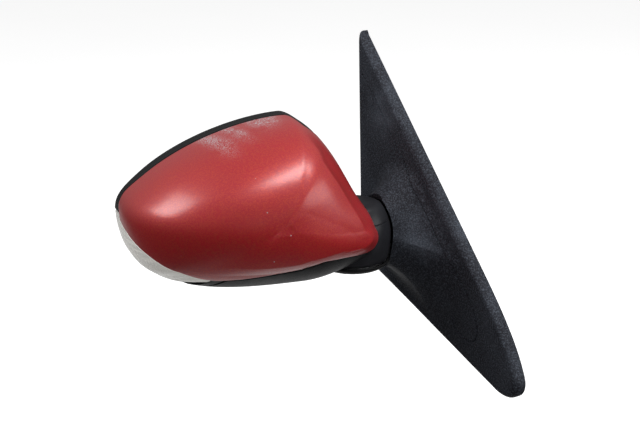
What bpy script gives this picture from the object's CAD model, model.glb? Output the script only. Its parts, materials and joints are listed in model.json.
"""Car side mirror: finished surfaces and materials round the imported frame.

Shapes are made in millimetres and scaled to metres when a piece is placed. The head is drawn
square to the car and turned about the fold axis as a whole.
"""
import json
import math

import bmesh
import bpy
import numpy as np
from mathutils import Matrix, Vector
from mathutils.bvhtree import BVHTree


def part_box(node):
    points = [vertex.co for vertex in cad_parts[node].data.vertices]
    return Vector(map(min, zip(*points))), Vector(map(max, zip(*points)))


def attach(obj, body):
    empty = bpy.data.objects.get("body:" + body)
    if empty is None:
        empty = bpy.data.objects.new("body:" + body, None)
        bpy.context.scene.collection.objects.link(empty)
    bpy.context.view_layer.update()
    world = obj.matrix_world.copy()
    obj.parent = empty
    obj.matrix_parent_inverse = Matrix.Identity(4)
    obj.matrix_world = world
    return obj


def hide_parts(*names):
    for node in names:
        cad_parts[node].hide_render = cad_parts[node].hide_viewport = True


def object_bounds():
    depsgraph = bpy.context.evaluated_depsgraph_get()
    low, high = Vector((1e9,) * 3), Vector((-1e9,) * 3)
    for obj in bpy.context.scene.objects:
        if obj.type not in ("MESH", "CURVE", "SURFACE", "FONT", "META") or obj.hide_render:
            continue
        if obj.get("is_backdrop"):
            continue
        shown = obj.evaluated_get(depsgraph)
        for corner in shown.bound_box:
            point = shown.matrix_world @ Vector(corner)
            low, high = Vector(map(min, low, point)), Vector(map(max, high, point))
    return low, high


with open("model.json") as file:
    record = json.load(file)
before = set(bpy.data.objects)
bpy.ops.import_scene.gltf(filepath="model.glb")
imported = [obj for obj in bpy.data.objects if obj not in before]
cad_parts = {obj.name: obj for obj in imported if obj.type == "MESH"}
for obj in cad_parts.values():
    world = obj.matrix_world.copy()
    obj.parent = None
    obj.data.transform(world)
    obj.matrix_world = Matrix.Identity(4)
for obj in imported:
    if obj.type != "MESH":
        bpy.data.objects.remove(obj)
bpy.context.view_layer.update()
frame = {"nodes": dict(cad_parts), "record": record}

# ---- driving dimensions, in millimetres -----------------------------------------------------
MM = 0.001
JOINTS = {joint["name"]: joint for joint in frame["record"]["behaviour"]["joints"]}
PIVOT = [value / MM for value in JOINTS["head_fold"]["pos_m"]]
SWEEP = math.radians(-15)
WALL = 2.4
NECK_RADIUS = 31.0
NECK_HALVES = (36.3, 50.0)                          # half heights of the barrel, above and below z = 0
NECK_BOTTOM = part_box("neck_lower_shell")[0].z / MM - 0.2
NECK_SEAM = 13.0
NECK_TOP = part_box("neck_upper_shell")[1].z / MM
FOOT = {"gap": 2.0, "x": -38.0, "y": -2.0, "z": 0.0, "half_y": 18.0, "half_z": 27.5, "power": 2.6}
DISC_BOTTOM = NECK_BOTTOM - 5.3
SAIL_FACE = -11.0
SAIL_EDGE = -1.0
SAIL_BEVEL = 7.0
PLATE_BACK = -6.0
COVER_SCREWS = ((42, 94), (-40, 16), (-66, -66))

RIM, SHOULDER, DEPTH, DOME = 38.0, 20.0, 88.0, 2.25
HEAD_MIDDLE, HEAD_SIDES, HEAD_ENDS, HEAD_LEVELS = -109.0, (-243.0, -58.0), (-33.0, 96.0), (28.0, 10.0)
HEAD_POWERS = (1.6, 1.66, 2.9, 2.2)
POLE = (-140.0, 32.0)
GLASS = {"x": -160.0, "y": 19.0, "z": 32.0, "inset": 9.5, "arm": 27.0}
CHEEK = {"low": -97.0, "slope": 0.146, "z": -35.0, "front": 33.6, "back": 36.2, "wall_front": 15.0}
CAP_FRONT = 0.965                                   # v of the last row before the cap's foremost point
CAP_ROLL, EDGE_BAND = 0.7, 0.9                      # how far a cap edge rolls in, over what width
COVER_ROLL = 0.5
RIB_PITCH, RIB_DEPTH = 1.1, 0.16
GROOVE_RADIUS = 1.05

HEAD_FRAME = (Matrix.Scale(MM, 4) @ Matrix.Translation((PIVOT[0], PIVOT[1], 0))
              @ Matrix.Rotation(SWEEP, 4, "Z") @ Matrix.Translation((-PIVOT[0], -PIVOT[1], 0)))
BASE_FRAME = Matrix.Scale(MM, 4)


# ---- meshes -----------------------------------------------------------------------------------
def smooth_by_angle(mesh, degrees=35):
    mesh.shade_smooth()
    mesh.set_sharp_from_angle(angle=math.radians(degrees))


def mesh_object(name, points, faces):
    mesh = bpy.data.meshes.new(name)
    mesh.from_pydata([tuple(map(float, p)) for p in points], [], [tuple(map(int, f)) for f in faces])
    bm = bmesh.new()
    bm.from_mesh(mesh)
    bmesh.ops.remove_doubles(bm, verts=bm.verts, dist=1e-4)
    bmesh.ops.recalc_face_normals(bm, faces=bm.faces)
    bm.to_mesh(mesh)
    bm.free()
    smooth_by_angle(mesh)
    obj = bpy.data.objects.new(name, mesh)
    bpy.context.collection.objects.link(obj)
    return obj


def grid_faces(columns, rows, start=0, closed=False):
    faces = []
    for i in range(columns if closed else columns - 1):
        a, b = start + i * rows, start + (i + 1) % columns * rows
        faces += [(a + j, b + j, b + j + 1, a + j + 1) for j in range(rows - 1)]
    return faces


def sheet(name, outer, inner, closed=False, poles=None):
    """Closed sheet between two grids of points; poles closes the last row with a point a side."""
    columns, rows = outer.shape[:2]
    count = columns * rows
    points = [*outer.reshape(-1, 3), *inner.reshape(-1, 3)]
    faces = grid_faces(columns, rows, 0, closed) + grid_faces(columns, rows, count, closed)
    for i in range(columns if closed else columns - 1):
        a, b = i * rows, (i + 1) % columns * rows
        faces.append((a, b, b + count, a + count))
        if poles:
            faces.append((a + rows - 1, b + rows - 1, 2 * count))
            faces.append((a + rows - 1 + count, b + rows - 1 + count, 2 * count + 1))
        else:
            faces.append((a + rows - 1, b + rows - 1, b + rows - 1 + count, a + rows - 1 + count))
    if poles:
        points += list(poles)
    if not closed:
        for a in (0, (columns - 1) * rows):
            faces += [(a + j, a + j + 1, a + j + 1 + count, a + j + count) for j in range(rows - 1)]
    return mesh_object(name, points, faces)


def loft(name, columns):
    """Closed body of a ring of columns whose first and last rows are closed by a fan."""
    count, rows = columns.shape[:2]
    points = [*columns.reshape(-1, 3), columns[:, 0].mean(0), columns[:, -1].mean(0)]
    faces = grid_faces(count, rows, 0, True)
    for i in range(count):
        a, b = i * rows, (i + 1) % count * rows
        faces.append((a, b, count * rows))
        faces.append((a + rows - 1, b + rows - 1, count * rows + 1))
    return mesh_object(name, points, faces)


def turned(name, profile, axis, centre, segments=128):
    """Lathe of a closed list of (radius, height) about an axis through the centre."""
    angles = np.linspace(0, 2 * np.pi, segments, endpoint=False)
    radius, height = np.array(profile, float).T
    u = np.cos(angles)[:, None] * radius
    v = np.sin(angles)[:, None] * radius
    w = np.broadcast_to(height, u.shape)
    order = {"x": (w, u, v), "y": (v, w, u), "z": (u, v, w)}[axis]
    points = np.stack(order, -1) + np.array(centre, float)
    loop = np.concatenate([points, points[:, :1]], 1)
    faces = grid_faces(segments, len(profile) + 1, 0, True)
    return mesh_object(name, loop.reshape(-1, 3), faces)


def rod(axis, radius, start, stop, u, v, segments=96):
    centre = {"x": (0, u, v), "y": (u, 0, v), "z": (u, v, 0)}[axis]
    return turned("rod", [(0, start), (radius, start), (radius, stop), (0, stop)], axis, centre, segments)


def box(x0, x1, y0, y1, z0, z1):
    points = [(x, y, z) for x in (x0, x1) for y in (y0, y1) for z in (z0, z1)]
    faces = [(0, 1, 3, 2), (4, 6, 7, 5), (0, 4, 5, 1), (2, 3, 7, 6), (0, 2, 6, 4), (1, 5, 7, 3)]
    return mesh_object("box", points, faces)


def prism(outline, start, stop):
    """Prism along Y over a closed list of (x, z)."""
    count = len(outline)
    points = [(x, y, z) for y in (start, stop) for x, z in outline]
    sides = [(i, (i + 1) % count, (i + 1) % count + count, i + count) for i in range(count)]
    return mesh_object("prism", points, [tuple(range(count)), tuple(range(count, 2 * count)), *sides])


def rounded(profile, radius, steps=4):
    """A closed profile with its corners rounded."""
    result = []
    count = len(profile)
    for i in range(count):
        before, corner, after = (np.array(profile[k % count], float) for k in (i - 1, i, i + 1))
        if corner[0] <= 0.01:
            result.append(tuple(corner))
            continue
        arms = [side - corner for side in (before, after)]
        reach = min(radius, *(0.45 * np.linalg.norm(arm) for arm in arms))
        first, last = (corner + arm / np.linalg.norm(arm) * reach for arm in arms)
        for t in np.linspace(0, 1, steps):
            result.append(tuple((1 - t) ** 2 * first + 2 * t * (1 - t) * corner + t * t * last))
    return result


def combine(obj, tools, how):
    for tool in tools:
        step = obj.modifiers.new("step", "BOOLEAN")
        step.operation = how
        step.solver = "EXACT"
        step.object = tool
        evaluated = obj.evaluated_get(bpy.context.evaluated_depsgraph_get())
        result = bpy.data.meshes.new_from_object(evaluated)
        obj.modifiers.clear()
        obj.data = result
        bpy.data.objects.remove(tool)
    smooth_by_angle(obj.data)
    return obj


def cut(obj, *tools):
    return combine(obj, tools, "DIFFERENCE")


def join(obj, *tools):
    return combine(obj, tools, "UNION")


def place(obj, name, body, material, slot, nodes=(), matrix=HEAD_FRAME):
    """Scales a finished piece to metres, sets its material and ties it to its CAD body."""
    obj.name = name
    obj.data.transform(matrix)
    obj.data.materials.clear()
    obj.data.materials.append(material)
    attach(obj, body)
    if nodes:
        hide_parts(*nodes)
    return obj


# ---- surface of the head --------------------------------------------------------------------
# phi runs in degrees from the neck side (0) over the top (90) and the outer end (180) to the
# bottom (270); v is -1 at the rear rim, 0 at the shoulder and 1 at the foremost point.
def smooth(value):
    """Smooth step from 0 to 1."""
    t = np.clip(value, 0, 1)
    return t * t * (3 - 2 * t)


def rim_point(phi, soft=0.0):
    """The outline of the head at phi, as (x, z); soft, from 0 to 1, makes its corners elliptic."""
    turn = np.mod(phi, 360)
    c, s = np.cos(np.radians(turn)), np.sin(np.radians(turn))
    power = 2 / (np.choose((turn // 90).astype(int), HEAD_POWERS) * (1 - soft) + 2 * soft)
    side = np.where(c > 0, HEAD_SIDES[1], HEAD_SIDES[0])
    end = np.where(s > 0, HEAD_ENDS[1], HEAD_ENDS[0])
    level = np.where(c > 0, HEAD_LEVELS[1], HEAD_LEVELS[0])
    x = HEAD_MIDDLE + (side - HEAD_MIDDLE) * np.abs(c) ** power
    upright = 1 + (power - 1) * smooth(np.abs(s) / 0.5)
    z = level + (end - level) * np.abs(s) ** upright
    return x, z


def lean(phi, y):
    """The lower inner corner of the dome leans over the neck."""
    turn = np.mod(phi + 180, 360) - 180
    return 21 * np.exp(-((turn + 18) / 36) ** 2) * np.exp(-((y + 30) / 26) ** 2)


def head_point(phi, v):
    """Point of the head's surface."""
    phi, v = np.broadcast_arrays(np.asarray(phi, float), np.asarray(v, float))
    tau = np.clip(v, 0, 1) * np.pi / 2
    scale = np.cos(tau) ** (2 / DOME)
    y = SHOULDER + (RIM - SHOULDER) * np.clip(-v, 0, None) - DEPTH * np.sin(tau) ** (2 / DOME)
    x, z = rim_point(phi, smooth((v - 0.35) / 0.5))
    x = POLE[0] + scale * (x - POLE[0]) + lean(phi, y)
    return np.stack([x, y, POLE[1] + scale * (z - POLE[1])], -1)


def head_skin(phi, v, inset):
    """Point of the head's surface, moved inwards along the normal by inset."""
    turn, step = 0.5, 0.004
    along = head_point(phi + turn, v) - head_point(phi - turn, v)
    across = head_point(phi, np.minimum(v + step, 0.995)) - head_point(phi, v - step)
    normal = np.cross(along, across)
    normal /= np.linalg.norm(normal, axis=-1, keepdims=True)
    return head_point(phi, v) - normal * np.asarray(inset, float)[..., None]


def through(knots, phi):
    """Value at phi of a smooth closed curve through (phi, value) knots, without overshoot."""
    places = np.array([place for place, value in knots], float)
    values = np.array([value for place, value in knots], float)
    widths = np.diff(places, append=places[0] + 360)
    rises = (np.roll(values, -1) - values) / widths
    before = np.roll(rises, 1)
    both = before * rises > 0
    slopes = np.where(both, 2 * before * rises / np.where(both, before + rises, 1), 0)
    angle = np.mod(np.asarray(phi, float) - places[0], 360) + places[0]
    i = np.clip(np.searchsorted(places, angle, side="right") - 1, 0, len(knots) - 1)
    j = (i + 1) % len(knots)
    t = (angle - places[i]) / widths[i]
    bend = (1 - t) * slopes[i] - t * slopes[j]
    return values[i] + (values[j] - values[i]) * smooth(t) + widths[i] * t * (1 - t) * bend


# Edges of the panels, as (phi, v).
CAP_EDGE = ((0, 0.2), (30, 0.08), (52, 0.03), (66, 0.12), (75, 0.13), (84, 0.01), (93, -0.16), (105, -0.22),
            (138, -0.24), (150, -0.31), (165, -0.5), (173, -0.42), (178, -0.18), (184, 0.01), (190, 0.13),
            (198, 0.28), (206, 0.37), (214, 0.42), (233, 0.46), (242, 0.51), (262, 0.61), (280, 0.65),
            (300, 0.64), (318, 0.56), (332, 0.39), (345, 0.26))
LENS_LOW = ((180, -0.885), (212, -0.885), (224, 0.26), (234, 0.425), (320, 0.425))
COVER_EDGE = ((240, 0.12), (255, 0.1), (322, 0.08), (345, 0.2))
LENS_SPAN = (180.0, 232.5)
LENS_WALL = 2.0
COVER_SPAN = (240.0, 345.0)
COLUMN = 1.5


def slit(v):
    """Half of the gap between two panels, measured in v."""
    return np.where(v < 0, 0.0097, 0.0015 + 0.002 * v)


def columns_of(start, stop):
    return np.linspace(start, stop, round((stop - start) / COLUMN) + 1)


def path_along(phi, start, stop, near, spread, far=()):
    """For each phi, v and the distance from the start edge: near it, then evenly on, then near the end."""
    near, far = np.array(near, float), np.array(far, float)
    v_rows, distance_rows = [], []
    for angle, a, b in zip(phi, start, stop):
        v = np.linspace(a, b, 500)
        steps = np.linalg.norm(np.diff(head_point(np.full_like(v, angle), v), axis=0), axis=1)
        length = np.concatenate([[0], np.cumsum(steps)])
        total = length[-1]
        squeeze = min(1, 0.45 * total / max([*near, *far, 1e-6]))
        ending = total - far[::-1] * squeeze if len(far) else np.array([total])
        rest = np.linspace(near[-1] * squeeze, ending[0], spread + 2)
        distance = np.concatenate([near * squeeze, rest[1:-1], ending])
        v_rows.append(np.interp(distance, length, v))
        distance_rows.append(distance)
    return np.array(v_rows), np.array(distance_rows)


# ---- materials --------------------------------------------------------------------------------
class Look:
    """A material with one Principled shader, and short calls for the nodes that feed it."""

    def __init__(self, name, color, roughness, metallic=0.0, **values):
        self.material = bpy.data.materials.new(name)
        self.material.use_nodes = True
        self.tree = self.material.node_tree
        self.shader = self.tree.nodes["Principled BSDF"]
        self.coordinates = self.tree.nodes.new("ShaderNodeTexCoord").outputs["Object"]
        self.shader.inputs["Base Color"].default_value = (*color, 1)
        self.shader.inputs["Roughness"].default_value = roughness
        self.shader.inputs["Metallic"].default_value = metallic
        for key, value in values.items():
            self.shader.inputs[key.replace("_", " ")].default_value = value

    def node(self, kind, inputs=None, **settings):
        node = self.tree.nodes.new("ShaderNode" + kind)
        for key, value in settings.items():
            setattr(node, key, value)
        for key, value in (inputs or {}).items():
            if isinstance(value, bpy.types.NodeSocket):
                self.tree.links.new(value, node.inputs[key])
            else:
                node.inputs[key].default_value = value
        return node

    def noise(self, scale, detail, roughness=0.5, stretch=None):
        vector = self.coordinates
        if stretch:
            vector = self.node("Mapping", {"Vector": vector, "Scale": stretch}).outputs["Vector"]
        return self.node("TexNoise", {"Vector": vector, "Scale": scale, "Detail": detail,
                                      "Roughness": roughness}).outputs["Fac"]

    def cells(self, scale, output="Distance"):
        inputs = {"Vector": self.coordinates, "Scale": scale}
        return self.node("TexVoronoi", inputs).outputs[output]

    def ramp(self, value, low, high, to_low=0.0, to_high=1.0):
        inputs = {"Value": value, "From Min": low, "From Max": high, "To Min": to_low, "To Max": to_high}
        return self.node("MapRange", inputs).outputs["Result"]

    def math(self, operation, a, b):
        return self.node("Math", {0: a, 1: b}, operation=operation).outputs[0]

    def attribute(self, name):
        return self.node("Attribute", attribute_name=name).outputs["Fac"]

    def mix(self, factor, a, b):
        node = self.node("Mix", data_type="RGBA")
        for socket, value in zip((node.inputs[0], node.inputs[6], node.inputs[7]), (factor, a, b)):
            if isinstance(value, bpy.types.NodeSocket):
                self.tree.links.new(value, socket)
            elif socket is node.inputs[0]:
                socket.default_value = value
            else:
                socket.default_value = (*value, 1)
        return node.outputs[2]

    def set(self, name, value):
        self.tree.links.new(value, self.shader.inputs[name])

    def bump(self, height, distance, strength):
        inputs = {"Height": height, "Distance": distance, "Strength": strength}
        return self.node("Bump", inputs).outputs["Normal"]


def paint_look():
    """Metallic paint under clear lacquer, with rubbed patches and small chips."""
    look = Look("red_paint", (0.5, 0.006, 0.016), 0.42,
                Coat_Weight=1.0, Coat_Roughness=0.27, Coat_IOR=1.5)
    flake = look.node("SeparateColor", {0: look.cells(1500, "Color")}).outputs[0]
    flake = look.ramp(flake, 0.35, 0.9)
    haze = look.ramp(look.noise(18, 4), 0.35, 0.7)
    deep = look.mix(haze, (0.48, 0.005, 0.017), (0.52, 0.007, 0.015))
    flaked = look.mix(look.math("MULTIPLY", flake, 0.35), deep, (0.8, 0.13, 0.06))
    patches = look.ramp(look.noise(75, 5, 0.7), 0.36, 0.52)
    grit = look.ramp(look.noise(1100, 2), 0.46, 0.56)
    scuff = look.math("MULTIPLY", look.attribute("scuff"), look.math("MULTIPLY", patches, grit))
    chips = look.ramp(look.cells(120), 0.075, 0.05)
    rare = look.ramp(look.noise(60, 2), 0.58, 0.64)
    marks = look.math("MAXIMUM", scuff, look.math("MULTIPLY", chips, rare))
    plain = look.math("SUBTRACT", 1.0, marks)
    look.set("Base Color", look.mix(marks, flaked, (0.62, 0.55, 0.57)))
    look.set("Metallic", look.math("MULTIPLY", look.math("MULTIPLY", flake, 0.45), plain))
    look.set("Roughness", look.ramp(marks, 0, 1, 0.42, 0.8))
    look.set("Normal", look.bump(flake, 0.00012, 0.3))
    return look.material


def grained_look(name, color, fleck, size, depth, roughness, wear=0.0):
    """Grained plastic with paler flecks; size is the width of a grain in metres."""
    look = Look(name, color, roughness, Specular_IOR_Level=0.1)
    grain = look.cells(1 / size)
    fine = look.noise(2.2 / size, 2)
    cloud = look.noise(26, 5, 0.6)
    height = look.math("ADD", grain, look.math("MULTIPLY", fine, 0.5))
    tone = look.ramp(look.noise(0.9 / size, 2, 0.7), 0.46, 0.68, 0.0, 0.6)
    tone = look.math("ADD", tone, look.ramp(cloud, 0.45, 0.75, 0.0, 0.2))
    if wear:
        rubbed = look.math("MULTIPLY", look.attribute("wear"), look.ramp(cloud, 0.3, 0.62))
        tone = look.math("ADD", tone, look.math("MULTIPLY", rubbed, wear))
    look.set("Base Color", look.mix(tone, color, fleck))
    look.set("Roughness", look.ramp(cloud, 0.3, 0.7, roughness - 0.06, roughness + 0.08))
    look.set("Normal", look.bump(height, depth, 0.8))
    return look.material


def satin_look(name, color, roughness, scale=900, depth=0.00006, **values):
    look = Look(name, color, roughness, **values)
    cloud = look.noise(30, 5, 0.6)
    pale = tuple(min(1, c * 1.7 + 0.01) for c in color)
    look.set("Base Color", look.mix(look.ramp(cloud, 0.4, 0.75, 0, 0.6), color, pale))
    look.set("Roughness", look.ramp(look.noise(55, 6), 0.3, 0.7, roughness - 0.08, roughness + 0.1))
    look.set("Normal", look.bump(look.noise(scale, 3), depth, 0.6))
    return look.material


def metal_look(name, color, roughness, stretch=(1, 1, 14), stain=0.6):
    look = Look(name, color, roughness, 1.0)
    brushed = look.noise(420, 4, 0.6, stretch)
    dull = tuple(c * 0.55 for c in color)
    look.set("Base Color", look.mix(look.ramp(look.noise(90, 5), 0.42, 0.7, 0, stain), color, dull))
    look.set("Roughness", look.ramp(brushed, 0.3, 0.7, roughness - 0.1, roughness + 0.12))
    look.set("Normal", look.bump(brushed, 0.00004, 0.5))
    return look.material


def cast_look():
    look = Look("cast_alloy", (0.56, 0.57, 0.58), 0.5, 0.9)
    skin = look.noise(650, 5, 0.65)
    look.set("Base Color", look.mix(look.ramp(look.noise(35, 6), 0.4, 0.7, 0, 0.7), (0.6, 0.61, 0.62),
                                    (0.38, 0.385, 0.39)))
    look.set("Roughness", look.ramp(skin, 0.3, 0.7, 0.42, 0.66))
    look.set("Normal", look.bump(skin, 0.00015, 0.6))
    return look.material


def lens_look():
    look = Look("lens_plastic", (0.85, 0.84, 0.8), 0.3, Transmission_Weight=0.1, IOR=1.49,
                Emission_Color=(1, 0.97, 0.92, 1), Emission_Strength=0.16,
                Coat_Weight=0.4, Coat_Roughness=0.1)
    dirt = look.noise(70, 6, 0.7)
    look.set("Base Color", look.mix(look.ramp(dirt, 0.45, 0.72, 0, 0.4), (0.86, 0.85, 0.81),
                                    (0.62, 0.6, 0.56)))
    look.set("Roughness", look.ramp(dirt, 0.3, 0.7, 0.18, 0.36))
    look.set("Normal", look.bump(look.noise(500, 3), 0.00003, 0.4))
    return look.material


def mirror_look():
    look = Look("mirror_glass", (0.86, 0.88, 0.89), 0.02, 1.0)
    smear = look.noise(22, 6, 0.65, (1, 1, 3))
    look.set("Roughness", look.ramp(smear, 0.45, 0.75, 0.015, 0.09))
    look.set("Base Color", look.mix(look.ramp(smear, 0.5, 0.8, 0, 0.3), (0.88, 0.9, 0.91),
                                    (0.74, 0.76, 0.77)))
    return look.material


def board_look():
    look = Look("circuit_board", (0.012, 0.13, 0.045), 0.35)
    tracks = look.node("TexBrick", {"Vector": look.coordinates, "Scale": 260.0, "Mortar Size": 0.03,
                                    "Color1": (0, 0, 0, 1), "Color2": (0, 0, 0, 1),
                                    "Mortar": (1, 1, 1, 1)}).outputs["Color"]
    look.set("Base Color", look.mix(tracks, (0.012, 0.13, 0.045), (0.03, 0.22, 0.08)))
    look.set("Normal", look.bump(look.noise(800, 2), 0.00004, 0.5))
    return look.material


LOOKS = {
    "paint": paint_look(),
    "grained": grained_look("grained_plastic", (0.022, 0.022, 0.028), (0.13, 0.15, 0.185),
                            0.0011, 0.0003, 0.55, 0.5),
    "black": grained_look("black_plastic", (0.012, 0.012, 0.0125), (0.03, 0.03, 0.032),
                          0.0006, 0.0001, 0.42),
    "neck": satin_look("neck_plastic", (0.018, 0.0185, 0.022), 0.42, 600, 0.00008,
                       Specular_IOR_Level=0.3),
    "inner": satin_look("inner_plastic", (0.02, 0.021, 0.023), 0.5),
    "rubber": satin_look("soft_rubber", (0.016, 0.016, 0.017), 0.8, 1200, 0.0001),
    "white": satin_look("moulded_white", (0.68, 0.67, 0.63), 0.42),
    "heater": satin_look("heater_foil", (0.045, 0.046, 0.05), 0.45, 300, 0.0001),
    "steel": metal_look("plain_steel", (0.5, 0.51, 0.52), 0.34),
    "brass": metal_look("plain_brass", (0.66, 0.46, 0.2), 0.32),
    "casting": cast_look(),
    "clear": lens_look(),
    "mirror": mirror_look(),
    "board": board_look(),
}


# ---- head: shells ---------------------------------------------------------------------------
def neck_radius(z):
    """Radius of the barrel-shaped neck at height z."""
    half = np.where(np.asarray(z) > 0, *NECK_HALVES)
    return NECK_RADIUS * np.sqrt(1 - (z / half) ** 2)


def barrel(extra, low, high):
    """A barrel larger than the neck by extra, going on as a cylinder beyond its rounded part."""
    levels = np.linspace(NECK_BOTTOM, 25, 30)
    radii = neck_radius(levels) + extra
    profile = [(0, low), (radii[0], low), *zip(radii, levels), (radii[-1], high), (0, high)]
    return turned("barrel", profile, "z", (PIVOT[0], PIVOT[1], 0), 144)


def neck_hole():
    """What the shells of the head leave free for the neck."""
    return barrel(0.8, -60, NECK_TOP + 2.2)


def disc_hole():
    """What they leave free for the platform below the neck."""
    return rod("z", NECK_RADIUS + 2, -60, NECK_BOTTOM + 0.3, PIVOT[0], PIVOT[1])


def foot_way():
    """What the housing leaves free beside the neck, where the foot passes when the head folds."""
    return box(-66.5, 40, -0.7, 60, -60, 29.5)


# The bevel line of the cap: v of the line, and how sharp it is, at a few places round the head.
CREASE = ((0, 0.51), (30, 0.52), (46, 0.52), (62, 0.49), (72, 0.38), (110, 0.25), (200, 0.5), (236, 0.67),
          (271, 0.73), (289, 0.74), (304, 0.72), (318, 0.69), (328, 0.65), (341, 0.5), (350, 0.465))
CREASE_SHARE = ((0, 1), (40, 1), (66, 0.75), (84, 0), (215, 0), (250, 0.8), (300, 1))
CREASE_RISE, CREASE_BAND, CREASE_FADE = 2.5, 10.0, 34.0


def ridge_height(phi, v, line):
    """Height over the plain surface of a ridge along the bevel line, from the distance to the line."""
    points = head_point(phi, v)
    crest = head_point(phi[:, 0], line)
    away = np.stack([np.linalg.norm(crest - point, axis=1).min() for point in points.reshape(-1, 3)])
    away = away.reshape(v.shape)
    outside = np.clip(1 - away / CREASE_BAND, 0, 1)
    return CREASE_RISE * np.where(v < line[:, None], outside, np.exp(-away / CREASE_FADE))


def make_cap():
    phi = np.arange(0, 360, COLUMN)
    start = through(CAP_EDGE, phi)
    start = start + slit(start)
    line = np.maximum(through(CREASE, phi), start + 0.03)
    near = (0, 0.2, 0.45, 0.9, 2, 4)
    beside = (0, 0.7, 1.6, 3.2, 6, 10)
    v, distance = path_along(phi, start, line, near, 8, beside[1:])
    v_front, beyond = path_along(phi, line, np.full_like(phi, CAP_FRONT), beside, 34)
    v = np.concatenate([v[:, :-1], line[:, None], v_front[:, 1:]], 1)
    distance = np.concatenate([distance, beyond[:, 1:] + distance[:, -1:]], 1)
    angles = np.broadcast_to(phi[:, None], v.shape)
    fade = through(CREASE_SHARE, phi)[:, None] * np.clip(distance / 4, 0, 1)
    roll = CAP_ROLL * np.clip(1 - distance / EDGE_BAND, 0, 1) ** 2
    outer = head_skin(angles, v, roll - fade * ridge_height(angles, v, line))
    inner = head_skin(angles, v, np.full_like(v, WALL))
    front = SHOULDER - DEPTH
    poles = [(POLE[0], front, POLE[1]), (POLE[0], front + WALL, POLE[1])]
    cap = sheet("cap", outer, inner, True, poles)
    return cut(cap, neck_hole(), disc_hole())


def make_lower_cover():
    phi = columns_of(*COVER_SPAN)
    low, high = through(COVER_EDGE, phi), through(CAP_EDGE, phi)
    start = low + slit(low)
    stop = np.maximum(high - slit(high), low + 0.02)
    near = (0, 0.2, 0.45, 0.9, 2)
    v, distance = path_along(phi, start, stop, near, 16, near)
    total = distance[:, -1:]
    angles = np.broadcast_to(phi[:, None], v.shape)
    inwards = np.minimum(distance, total - distance)
    outer = head_skin(angles, v, COVER_ROLL * np.clip(1 - inwards / EDGE_BAND, 0, 1) ** 2)
    cover = sheet("cover", outer, head_skin(angles, v, np.full_like(v, WALL)))
    return cut(cover, neck_hole(), disc_hole())


def lens_rows(low, front):
    """Levels across the lens, closer together where the surface bends."""
    return [low + (front - low) * t for t in (0, 0.15, 0.3, 0.42, 0.52, 0.62, 0.7, 0.78, 0.85, 0.92, 1)]


def housing_grid(phi, offset):
    """One face of the housing: from the cap's edge, sunk under the lens, back to the rear rim."""
    covered = (phi >= COVER_SPAN[0]) & (phi <= COVER_SPAN[1])
    edge = np.where(covered, through(COVER_EDGE, phi), through(CAP_EDGE, phi))
    front = edge - slit(edge) - np.where(edge < 0, 0.02, 0.001)
    under = (phi >= LENS_SPAN[0]) & (phi <= LENS_SPAN[1])
    step = np.where(under, through(LENS_LOW, phi), (front - 0.9) / 2)
    drop = np.where(under, LENS_WALL + 1.8, 0)
    lip = np.where(under & (step < -0.8), 0.9, 0)
    levels = lens_rows(step, front)[::-1]
    sinks = (0.4, 0.1) + (0,) * (len(levels) - 2)
    rows = [(v, drop + sink) for v, sink in zip(levels, sinks)]
    rows += [(step - 0.014, lip), ((step - 0.929) / 2, lip), (np.full_like(phi, -0.915), lip),
             (np.full_like(phi, -0.96), lip + 0.05), (np.full_like(phi, -0.985), lip + 0.2),
             (np.full_like(phi, -1.0), lip + 0.6)]
    return np.stack([head_skin(phi, v, inset + offset * np.where(under, 0.5, 1)) for v, inset in rows], 1)


def head_outline(inset):
    """The head's outline drawn in by inset, as (x, z)."""
    middle = (HEAD_MIDDLE - 12, POLE[1])
    x, z = rim_point(np.arange(0, 360, COLUMN))
    keep = 1 - inset / np.hypot(x - middle[0], z - middle[1])
    return list(zip(middle[0] + (x - middle[0]) * keep, middle[1] + (z - middle[1]) * keep))


def neck_side(shift):
    """Everything on the neck side of the cheek, a slanting plane moved towards the neck by shift."""
    def at(height):
        return CHEEK["low"] + CHEEK["slope"] * (height - CHEEK["z"]) + shift
    return prism([(at(-80), -80), (at(150), 150), (40, 150), (40, -80)], -100, 100)


def make_housing():
    phi = np.arange(0, 360, COLUMN)
    shell = sheet("housing", housing_grid(phi, 0.0), housing_grid(phi, WALL), True)
    front, back = CHEEK["front"], CHEEK["back"]
    cheek = combine(prism(head_outline(1), front, back), [neck_side(0)], "INTERSECT")
    wall = combine(prism(head_outline(1), CHEEK["wall_front"], front + 0.4), [neck_side(0)], "INTERSECT")
    wall = cut(wall, neck_side(WALL - 0.4), box(-120, -40, 0, 25, 64, 120))
    return cut(join(shell, cheek, wall), neck_hole(), disc_hole(), foot_way())


def make_lens():
    phi = np.linspace(*LENS_SPAN, 541)
    cap_edge = through(CAP_EDGE, phi)
    front = cap_edge - slit(cap_edge)
    low = np.minimum(through(LENS_LOW, phi) + 0.006, front - 0.012)
    near = (0, 0.25, 0.6, 1.1)
    v, distance = path_along(phi, low, front, near, 10, near)
    total = distance[:, -1:]
    angles = np.broadcast_to(phi[:, None], v.shape)
    inwards = np.minimum(distance, total - distance)
    roll = COVER_ROLL * np.clip(1 - inwards / EDGE_BAND, 0, 1) ** 2
    slant = angles * 1.1 + distance * 1.4
    wave = 0.5 + 0.5 * np.cos(slant * 2 * np.pi / RIB_PITCH)
    rib = wave * np.clip(inwards / 1.1 - 0.4, 0, 1)
    outer = head_skin(angles, v, roll + RIB_DEPTH * rib)
    return sheet("lens", outer, head_skin(angles, v, LENS_WALL - 0.4 * rib))


# ---- neck and platform ------------------------------------------------------------------------
def neck_wall(low, high, depth):
    """Profile of the neck between two heights, depth inside its outer face."""
    return [(float(neck_radius(z)) - depth, z) for z in np.linspace(low, high, 12)]


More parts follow.
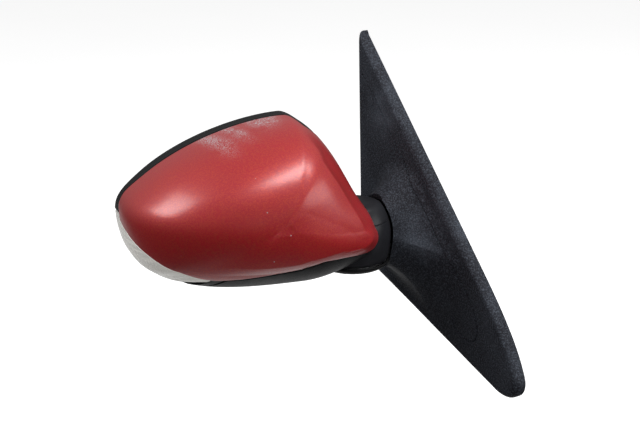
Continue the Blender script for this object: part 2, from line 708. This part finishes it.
def make_neck_lower():
    bottom, seam = NECK_BOTTOM, NECK_SEAM
    outer = neck_wall(bottom + 1.2, seam - 0.6, 0)
    inner = neck_wall(bottom + 4, seam - 0.2, WALL)[::-1]
    profile = [(27.2, bottom + 0.2), (neck_radius(bottom) - 0.9, bottom + 0.2),
               (neck_radius(bottom) - 0.2, bottom + 0.6), *outer,
               (neck_radius(seam) - 0.35, seam - 0.2), *inner, (27.2, bottom + 4)]
    shell = turned("neck_lower", profile, "z", (PIVOT[0], PIVOT[1], 0), 144)
    return cut(shell, box(-100, PIVOT[0] - 14, -16.5, 16.5, bottom + 5.2, seam - 2))


def make_neck_upper():
    seam, top = NECK_SEAM, NECK_TOP
    outer = neck_wall(seam + 0.6, top - 2, 0)
    inner = neck_wall(seam + 0.2, top - 5, WALL)[::-1]
    crown = [(20.2, top - 0.7), (19, top - 0.2), (17.5, top), (0, top)]
    under = [(0, top - WALL), (15.5, top - WALL), (19.5, top - WALL - 1)]
    profile = [(neck_radius(seam) - 0.35, seam + 0.2), *outer, *crown, *under, *inner]
    return turned("neck_upper", profile, "z", (PIVOT[0], PIVOT[1], 0), 144)


def make_foot_cover():
    r, rim = NECK_RADIUS, NECK_BOTTOM - 0.8
    outer = [(0, rim - 6.8), (r - 14, rim - 6.8), (r - 7.4, rim - 5.9), (r - 3.4, rim - 3.9),
             (r - 1.5, rim - 1.4), (r - 1.5, rim)]
    inner = [(r - 3.1, rim), (r - 3.1, rim - 2.8), (r - 6.4, rim - 4.9), (0, rim - 4.9)]
    dish = turned("foot_cover", rounded(outer + inner, 1.6), "z", (PIVOT[0], PIVOT[1], 0), 144)
    arm_way = box(-45, 0, -13.6, 13.6, DISC_BOTTOM - 0.4, 0)
    return cut(dish, arm_way, rod("z", 15, -40, 0, PIVOT[0], PIVOT[1]))


# ---- sail cover -------------------------------------------------------------------------------
def bezier(*points):
    """Points of a quadratic or cubic Bezier curve, without its last point."""
    t = np.linspace(0, 1, 60, endpoint=False)[:, None]
    points = [np.array(p, float) for p in points]
    degree = len(points) - 1
    return sum(math.comb(degree, i) * (1 - t) ** (degree - i) * t ** i * p for i, p in enumerate(points))


def evenly(path, count, ends=True):
    """Points at equal distances along a path; ends says whether its last point is one of them."""
    length = np.concatenate([[0], np.cumsum(np.linalg.norm(np.diff(path, axis=0), axis=1))])
    places = np.linspace(0, length[-1], count, endpoint=ends)
    return np.stack([np.interp(places, length, path[:, i]) for i in range(path.shape[1])], 1)


def sail_border(inset, count):
    """The outline of the sail cover, inset towards the middle, as evenly spaced (y, z)."""
    k = inset
    top = (60.4 - k, 149.4 - 2.5 * k)
    rear_top = (61 - k, 146.5 - 2.4 * k)
    slope_top = (58.6 - 0.95 * k, 146 - 2.4 * k)
    slope_low = (-98 + 0.75 * k, -24.5 - 0.65 * k)
    front = (-143 + 1.1 * k, -89 + 0.1 * k)
    tip = (-122 + 0.6 * k, -106 + k)
    heel = (48 - 0.8 * k, -46 + k)
    rear = (58 - k, -32 + 0.8 * k)
    path = np.concatenate([
        bezier(top, (59.8 - k, 149.2 - 2.5 * k), slope_top),
        bezier(slope_top, slope_low),
        bezier(slope_low, (-120 + 0.8 * k, -49 - 0.6 * k), (-134.5 + 0.9 * k, -68 - 0.5 * k), front),
        bezier(front, (-147.5 + 1.2 * k, -100.5 + 0.6 * k), (-138 + k, -112.5 + 1.2 * k), tip),
        bezier(tip, heel),
        bezier(heel, (58 - k, -42 + k), rear),
        bezier(rear, rear_top),
        bezier(rear_top, top),
        [top],
    ])
    return evenly(path, count, ends=False)


def sail_body(inset, edge_x, count, bevel):
    """Body of the sail cover: a plate with a rounded edge that flares out into the foot."""
    y, z = sail_border(inset, count).T
    angle = np.arctan2(z - FOOT["z"], y - FOOT["y"])
    c, s = np.cos(angle), np.sin(angle)
    power = FOOT["power"]
    across = np.abs(c / (FOOT["half_y"] - inset)) ** power
    upwards = np.abs(s / (FOOT["half_z"] - inset)) ** power
    size = (across + upwards) ** (-1 / power)
    y0, z0 = FOOT["y"] + size * c, FOOT["z"] + size * s
    length = np.hypot(y - y0, z - z0)
    flare = 26 + 42 * np.clip(np.cos(angle - math.radians(205)), 0, None) ** 1.5
    reach = np.minimum(flare, length - bevel - 1)
    face = SAIL_FACE + inset
    rows = [(0 * length, edge_x), (length, edge_x)]
    for turn in np.linspace(0, math.pi / 2, 10):
        rows.append((length - bevel * (1 - math.cos(turn)), face + bevel * 0.8 * (1 - math.sin(turn))))
    for t in np.linspace(0, 1, 8)[1:-1]:
        rows.append((length - bevel + (reach - length + bevel) * t, face))
    for u in np.linspace(1, 0, 26):
        rows.append((reach * u, face + (FOOT["x"] + inset - face) * (1 - u) ** 2.3))
    grid = []
    for out, x in rows:
        grid.append(np.stack([np.full_like(length, x), y0 + (y - y0) * out / length,
                              z0 + (z - z0) * out / length], -1))
    return loft("sail", np.stack(grid, 1))


# The embossed line on the outer face of the sail cover, as (y, z).
EMBOSSED = ((54, 115), (40, 102), (13, 71), (-18, 37), (-51, -1), (-73, -25), (-91, -45), (-98, -62),
            (-95, -73), (-84, -74), (-66, -66), (-43, -59))


def curve_through(points, count):
    """Catmull-Rom curve through the points, evenly spaced."""
    p = np.array([points[0], *points, points[-1]], float)
    t = np.linspace(0, 1, 24, endpoint=False)[:, None]
    parts = [0.5 * (2 * b + (c - a) * t + (2 * a - 5 * b + 4 * c - d) * t ** 2
                    + (3 * b - a - 3 * c + d) * t ** 3) for a, b, c, d in zip(p, p[1:], p[2:], p[3:])]
    return evenly(np.concatenate([*parts, p[-1:]]), count)


def tube(path, radii, sides=8):
    """Closed round tube along a path that runs about across the X axis."""
    path = np.array(path)
    along = np.gradient(path, axis=0)
    along /= np.linalg.norm(along, axis=1, keepdims=True)
    first = np.cross(along, (1.0, 0, 0))
    first /= np.linalg.norm(first, axis=1, keepdims=True)
    second = np.cross(along, first)
    angles = np.linspace(0, 2 * np.pi, sides, endpoint=False)
    rings = [path + radii[:, None] * (math.cos(a) * first + math.sin(a) * second) for a in angles]
    return loft("tube", np.stack(rings, 0))


def emboss_line(body):
    """A tube half sunk in the face of the sail cover, which cuts the embossed line."""
    corners = [vertex.co for vertex in body.data.vertices]
    tree = BVHTree.FromPolygons(corners, [polygon.vertices for polygon in body.data.polygons])
    path = []
    count = 220
    for y, z in curve_through(EMBOSSED, count):
        hit = tree.ray_cast(Vector((-200, y, z)), Vector((1, 0, 0)))[0]
        path.append((hit.x, y, z))
    fade = np.clip((count - np.arange(count)) / 40, 0.3, 1)
    return tube(path, GROOVE_RADIUS * fade)


def make_sail_cover():
    outer = sail_body(0.0, SAIL_EDGE, 320, SAIL_BEVEL)
    groove = emboss_line(outer)
    hollow = sail_body(WALL, 2.0, 160, SAIL_BEVEL - 1.2)
    hollow = cut(hollow, barrel(FOOT["gap"] + WALL, -60, 60))
    arm_way = box(-45, -18, -13.6, 13.6, DISC_BOTTOM - 0.5, -11)
    shell = cut(outer, hollow, barrel(FOOT["gap"], -60, 60), arm_way, groove)
    bosses = [cut(rod("x", 4, -11.5, PLATE_BACK - 0.35, y, z, 32), rod("x", 1.6, -10, 0, y, z, 24))
              for y, z in COVER_SCREWS]
    return join(shell, *bosses)


# ---- glass ----------------------------------------------------------------------------------
def glass_slab(inset, start, stop):
    """A slab in the shape of the glass, between two values of y."""
    return cut(prism(head_outline(inset), start, stop), neck_side(-3.6 - (inset - GLASS["inset"])))


def make_glass_holder():
    x, y, z, inset = (GLASS[key] for key in ("x", "y", "z", "inset"))
    plate = cut(glass_slab(inset, 22.6, 24.4), box(x - 4.6, x + 4.6, 20, 30, z - 12, z + 12))
    rim = cut(glass_slab(inset, 24, 28.2), glass_slab(inset + 1.3, 20, 30))
    parts = [rim]
    for side in (-8.5, 8.5):
        post = box(x + side - 1.4, x + side + 1.4, y - 2.2, 23, z - 3, z + 3)
        parts.append(cut(post, rod("x", 2, x + side - 3, x + side + 3, y, z, 32)))
    for u, w in ((x - GLASS["arm"], z), (x, z - GLASS["arm"])):
        parts.append(cut(rod("y", 5.5, 18.8, 23, u, w, 40), rod("y", 3.9, 17, 24, u, w, 40)))
    return join(plate, *parts)


# ---- pieces -----------------------------------------------------------------------------------
place(make_cap(), "painted_cap", "head", LOOKS["paint"], "paint", ["head_cap"])
place(make_housing(), "housing_shell", "head", LOOKS["black"], "black", ["mirror_housing"])
place(make_lower_cover(), "lower_cover_shell", "head", LOOKS["black"], "black", ["lower_cover"])
place(make_lens(), "ribbed_lens", "head", LOOKS["clear"], "clear", ["indicator_lens"])
place(make_neck_lower(), "neck_lower", "head", LOOKS["neck"], "black", ["neck_lower_shell"])
place(make_neck_upper(), "neck_upper", "head", LOOKS["neck"], "black", ["neck_upper_shell"])
place(make_foot_cover(), "platform_cover", "base", LOOKS["black"], "grained", ["foot_cover"], BASE_FRAME)
place(make_sail_cover(), "sail_shell", "base", LOOKS["grained"], "grained", ["sail_cover"], BASE_FRAME)
place(make_glass_holder(), "glass_carrier", "glass", LOOKS["black"], "black", ["glass_holder"])
place(glass_slab(GLASS["inset"] + 1.65, 25.6, 27.8), "mirror_plate", "glass", LOOKS["mirror"], "mirror",
      ["mirror_glass"])


def attribute_of(obj, name, value):
    """Stores value(x, y, z), with the points of the placed piece in millimetres, as an attribute."""
    points = np.empty(len(obj.data.vertices) * 3)
    obj.data.vertices.foreach_get("co", points)
    points = points.reshape(-1, 3) / MM
    layer = obj.data.attributes.new(name, "FLOAT", "POINT")
    layer.data.foreach_set("value", value(*points.T).astype(np.float32))


def scuffed(x, y, z):
    """Rubbed patches in a band along the upper rear edge of the cap."""
    band = np.exp(-np.clip((33 + 0.3 * (x + 140) - y) / 16, 0, None) ** 2)
    spots = ((-165, 6, 1), (-148, 5, 1), (-121, 11, 1.8))
    patches = sum(much * np.exp(-((x - place) / width) ** 2) for place, width, much in spots)
    return np.clip(band * patches, 0, 1) * (z > 70)


def worn(x, y, z):
    """Two paler places on the sail cover, above the foot and on its lower ridge."""
    upper = np.exp(-((y - 22) / 16) ** 2 - ((z - 92) / 20) ** 2)
    lower = np.exp(-((y + 45) / 25) ** 2 - ((z - 2) / 22) ** 2)
    return np.clip(upper + lower, 0, 1)


attribute_of(bpy.data.objects["painted_cap"], "scuff", scuffed)
attribute_of(bpy.data.objects["sail_shell"], "wear", worn)

# ---- carried-over CAD nodes -----------------------------------------------------------------
SLOTS = {part["node"]: part["material_slot"] for part in frame["record"]["subparts"]}
for name, obj in frame["nodes"].items():
    if obj.hide_render:
        continue
    slot_name = SLOTS[name]
    obj.data.materials.clear()
    obj.data.materials.append(LOOKS["inner" if slot_name == "black" else slot_name])
    bpy.context.view_layer.objects.active = obj
    if obj.data.has_custom_normals:
        bpy.ops.mesh.customdata_custom_splitnormals_clear()
    smooth_by_angle(obj.data, 32)
    edge = obj.modifiers.new("edge", "BEVEL")
    edge.width = 0.25 * MM
    edge.segments = 2
    edge.limit_method = "ANGLE"
    edge.angle_limit = math.radians(40)

# ---- floor, light and camera ------------------------------------------------------------------
low, high = (Vector(corner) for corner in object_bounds())
centre = (low + high) / 2


def make_floor():
    """A pale floor that lights and reflects nothing, so that only the lamps and the world do."""
    size, depth = 30.0, low.z - 0.03
    points = [(x * size, y * size, depth) for x, y in ((-1, -1), (1, -1), (1, 1), (-1, 1))]
    floor = mesh_object("floor", points, [(0, 1, 2, 3)])
    look = Look("pale_floor", (0.9, 0.9, 0.9), 0.9, Specular_IOR_Level=0.0)
    look.set("Base Color", look.mix(look.ramp(look.noise(3, 3), 0.3, 0.7), (0.89, 0.89, 0.89),
                                    (0.91, 0.91, 0.91)))
    look.shader.inputs["Emission Color"].default_value = (1, 1, 1, 1)
    look.shader.inputs["Emission Strength"].default_value = 0.62
    floor.data.materials.append(look.material)
    floor.visible_glossy = False
    floor.visible_diffuse = False
    floor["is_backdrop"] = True


def aim(azimuth, elevation):
    """Unit vector towards a place in the studio; azimuth 0 is -Y and 90 is +X."""
    a, e = math.radians(azimuth), math.radians(elevation)
    return Vector((math.sin(a) * math.cos(e), -math.cos(a) * math.cos(e), math.sin(e)))


def soft_light(name, azimuth, elevation, distance, size, radiance, in_gloss=True):
    """Rectangular lamp; its power follows from its area and the brightness of its face."""
    light = bpy.data.lights.new(name, "AREA")
    light.shape = "RECTANGLE"
    light.size, light.size_y = size
    light.energy = radiance * math.pi * size[0] * size[1]
    obj = bpy.data.objects.new(name, light)
    bpy.context.collection.objects.link(obj)
    towards = aim(azimuth, elevation)
    obj.location = centre + towards * distance
    obj.visible_glossy = in_gloss
    obj.rotation_euler = towards.to_track_quat("Z", "Y").to_euler()


# Brightness of the world, as (cosine of the angle to a direction, value).
CEILING = ((-1, 0.3), (-0.85, 0.1), (-0.55, 0.02), (-0.2, 0.06), (0.0, 0.15), (0.25, 0.24), (0.55, 0.3),
           (1, 0.34))
TABLE_TOWARDS = Vector((0.3, 0.7, -0.65))
TABLE = ((0.74, 0.0), (0.94, 0.65))


def make_world():
    """A bright ceiling, a dim horizon, and a pale table that reaches away behind the mirror."""
    world = bpy.data.worlds.new("studio")
    world.use_nodes = True
    tree = world.node_tree
    direction = tree.nodes.new("ShaderNodeTexCoord").outputs["Generated"]

    def slope(normal, stops):
        """Brightness along one direction, from (cosine, value) stops."""
        dot = tree.nodes.new("ShaderNodeVectorMath")
        dot.operation = "DOT_PRODUCT"
        tree.links.new(direction, dot.inputs[0])
        dot.inputs[1].default_value = normal
        shift = tree.nodes.new("ShaderNodeMapRange")
        shift.inputs["From Min"].default_value = -1
        tree.links.new(dot.outputs["Value"], shift.inputs["Value"])
        ramp = tree.nodes.new("ShaderNodeValToRGB")
        tree.links.new(shift.outputs["Result"], ramp.inputs[0])
        elements = ramp.color_ramp.elements
        elements[0].position, elements[1].position = (stops[0][0] + 1) / 2, (stops[-1][0] + 1) / 2
        for cosine, value in stops[1:-1]:
            elements.new((cosine + 1) / 2)
        for element, (cosine, value) in zip(elements, stops):
            element.color = (value, value, value, 1)
        return ramp.outputs["Color"]

    ceiling = slope((0, 0, 1), CEILING)
    table = slope(TABLE_TOWARDS.normalized(), TABLE)
    total = tree.nodes.new("ShaderNodeVectorMath")
    tree.links.new(ceiling, total.inputs[0])
    tree.links.new(table, total.inputs[1])
    tree.links.new(total.outputs[0], tree.nodes["Background"].inputs["Color"])
    bpy.context.scene.world = world


def make_camera(azimuth, elevation, distance, target, lens):
    back = aim(azimuth, elevation)
    data = bpy.data.cameras.new("camera")
    data.lens = lens
    data.sensor_width = 36
    data.clip_start = 0.01
    camera = bpy.data.objects.new("camera", data)
    bpy.context.collection.objects.link(camera)
    camera.location = Vector(target) + back * distance
    camera.rotation_euler = back.to_track_quat("Z", "Y").to_euler()
    bpy.context.scene.camera = camera


make_floor()
soft_light("side_lamp", -117, 40, 1.3, (0.5, 0.42), 7.5)
soft_light("top_lamp", 24, 64, 1.3, (0.8, 0.36), 10)
soft_light("front_strip", 40, 13, 1.6, (1.3, 0.6), 2.6)
soft_light("low_fill", -12, -2, 1.6, (0.8, 0.4), 2.4, in_gloss=False)
make_world()
bpy.context.scene.view_settings.view_transform = "Standard"
make_camera(azimuth=-35, elevation=17, distance=1.1, target=(-0.0784, 0.0184, 0.0149), lens=77.34)
